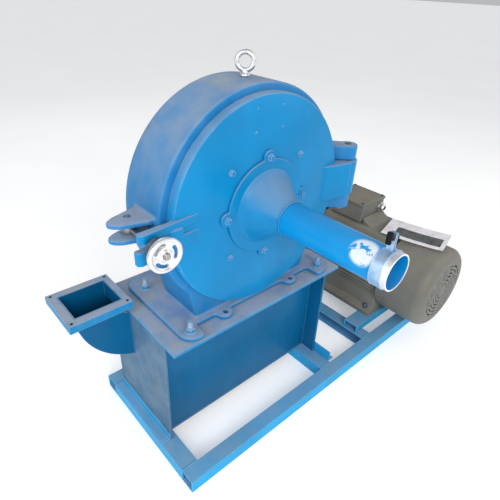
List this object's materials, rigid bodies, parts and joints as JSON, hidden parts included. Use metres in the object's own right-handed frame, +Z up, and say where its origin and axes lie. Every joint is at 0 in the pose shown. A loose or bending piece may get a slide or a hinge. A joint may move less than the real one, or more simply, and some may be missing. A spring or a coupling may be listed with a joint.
{
  "type": "belt-driven hammer mill with hinged front door",
  "caption": "Belt-driven hammer mill: round casing with hinged door and axial inlet tube on a plate box with elbow outlet, beside a finned motor on a channel frame.",
  "frame": {"origin": "middle of the outline, on the floor plane under the frame channels", "axes": "+X to the right along the frame towards the motor, +Y to the back towards the belts, +Z up; the inlet tube points along -Y"},
  "size_m": [1.575, 0.908, 1.1651],
  "materials": {
    "azure_paint": "gloss paint with meal dust",
    "rail_paint": "worn light blue paint with dust",
    "plate_paint": "worn blue paint with dust",
    "motor_paint": "dusty grey paint",
    "steel": "plain machined steel",
    "zinc": "bright zinc plate",
    "cast_iron": "rough cast",
    "black_rubber": "matt",
    "card": "plain card"
  },
  "bodies": {
    "base": {"front_rail": "rail_paint", "rear_rail": "rail_paint", "cross_member_1": "rail_paint", "cross_member_2": "rail_paint", "cross_member_3": "rail_paint", "cross_member_4": "rail_paint", "motor_rail_front": "rail_paint", "motor_rail_rear": "rail_paint", "box_left_plate": "plate_paint", "box_right_plate": "plate_paint", "box_front_panel": "plate_paint", "box_rear_panel": "plate_paint", "box_floor": "plate_paint", "box_top_flange": "plate_paint", "box_foot_angle_left": "plate_paint", "box_foot_angle_right": "plate_paint", "outlet_elbow": "azure_paint", "outlet_flange": "azure_paint", "mill_casing": "azure_paint", "eye_bolt": "zinc", "screen_ring": "steel", "hinge_pin": "steel", "latch_pin": "steel", "bearing_housing": "azure_paint", "bearing_front": "steel", "bearing_rear": "steel", "v_belt_1": "black_rubber", "v_belt_2": "black_rubber", "motor_frame": "motor_paint", "terminal_box": "motor_paint", "fan_cowl": "motor_paint", "data_card": "card"},
    "door": {"front_door": "azure_paint", "door_liner": "steel", "inlet_cone": "azure_paint", "inlet_tube": "azure_paint", "hose_clamp": "zinc", "clamp_bolt": "black_rubber"},
    "latch_bolt": {"swing_bolt": "steel"},
    "washer": {"latch_washer": "steel"},
    "wheel": {"handwheel": "zinc"},
    "rotor": {"main_shaft": "steel", "rotor_plate_front": "cast_iron", "rotor_plate_rear": "cast_iron", "hammer_pin_1": "steel", "hammer_pin_2": "steel", "hammer_pin_3": "steel", "hammer_pin_4": "steel", "mill_pulley": "cast_iron"},
    "motor_rotor": {"motor_shaft": "steel", "motor_pulley": "cast_iron"},
    "swing_hammer_1": {"hammer_1": "cast_iron"},
    "swing_hammer_2": {"hammer_2": "cast_iron"},
    "swing_hammer_3": {"hammer_3": "cast_iron"},
    "swing_hammer_4": {"hammer_4": "cast_iron"},
    "swing_hammer_5": {"hammer_5": "cast_iron"},
    "swing_hammer_6": {"hammer_6": "cast_iron"},
    "swing_hammer_7": {"hammer_7": "cast_iron"},
    "swing_hammer_8": {"hammer_8": "cast_iron"}
  },
  "joints": [
    {"name": "door_hinge", "type": "hinge", "parent": "base", "child": "door", "pos_m": [0.0895, -0.029, 0.786], "axis": [0, 0, 1], "range_deg": [0, 105]},
    {"name": "latch_swing", "type": "hinge", "parent": "base", "child": "latch_bolt", "pos_m": [-0.6285, 0.052, 0.799], "axis": [0, 0, -1], "range_deg": [0, 110]},
    {"name": "washer_slide", "type": "slide", "parent": "latch_bolt", "child": "washer", "axis": [0, -1, 0], "range_m": [0, 0.0141]},
    {"name": "wheel_spin", "type": "hinge", "parent": "washer", "child": "wheel", "pos_m": [-0.6285, -0.104, 0.799], "axis": [0, -1, 0], "range_deg": [0, 2160]},
    {"name": "rotor_spin", "type": "hinge", "parent": "base", "child": "rotor", "pos_m": [-0.2695, 0.076, 0.786], "axis": [0, 1, 0], "continuous": true},
    {"name": "motor_spin", "type": "hinge", "parent": "base", "child": "motor_rotor", "pos_m": [0.5375, 0.076, 0.264], "axis": [0, 1, 0], "continuous": true},
    {"name": "hammer_swing_1", "type": "hinge", "parent": "rotor", "child": "swing_hammer_1", "pos_m": [-0.15071, 0.052, 0.90479], "axis": [0, 1, 0], "range_deg": [-120, 120]},
    {"name": "hammer_swing_2", "type": "hinge", "parent": "rotor", "child": "swing_hammer_2", "pos_m": [-0.15071, 0.086, 0.90479], "axis": [0, 1, 0], "range_deg": [-120, 120]},
    {"name": "hammer_swing_3", "type": "hinge", "parent": "rotor", "child": "swing_hammer_3", "pos_m": [-0.38829, 0.052, 0.90479], "axis": [0, 1, 0], "range_deg": [-120, 120]},
    {"name": "hammer_swing_4", "type": "hinge", "parent": "rotor", "child": "swing_hammer_4", "pos_m": [-0.38829, 0.086, 0.90479], "axis": [0, 1, 0], "range_deg": [-120, 120]},
    {"name": "hammer_swing_5", "type": "hinge", "parent": "rotor", "child": "swing_hammer_5", "pos_m": [-0.38829, 0.052, 0.66721], "axis": [0, 1, 0], "range_deg": [-120, 120]},
    {"name": "hammer_swing_6", "type": "hinge", "parent": "rotor", "child": "swing_hammer_6", "pos_m": [-0.38829, 0.086, 0.66721], "axis": [0, 1, 0], "range_deg": [-120, 120]},
    {"name": "hammer_swing_7", "type": "hinge", "parent": "rotor", "child": "swing_hammer_7", "pos_m": [-0.15071, 0.052, 0.66721], "axis": [0, 1, 0], "range_deg": [-120, 120]},
    {"name": "hammer_swing_8", "type": "hinge", "parent": "rotor", "child": "swing_hammer_8", "pos_m": [-0.15071, 0.086, 0.66721], "axis": [0, 1, 0], "range_deg": [-120, 120]}
  ],
  "couplings": [
    {"joint": "motor_spin", "follows": "rotor_spin", "ratio": 0.55556},
    {"joint": "washer_slide", "follows": "wheel_spin", "m_per_rad": 0.000374}
  ]
}
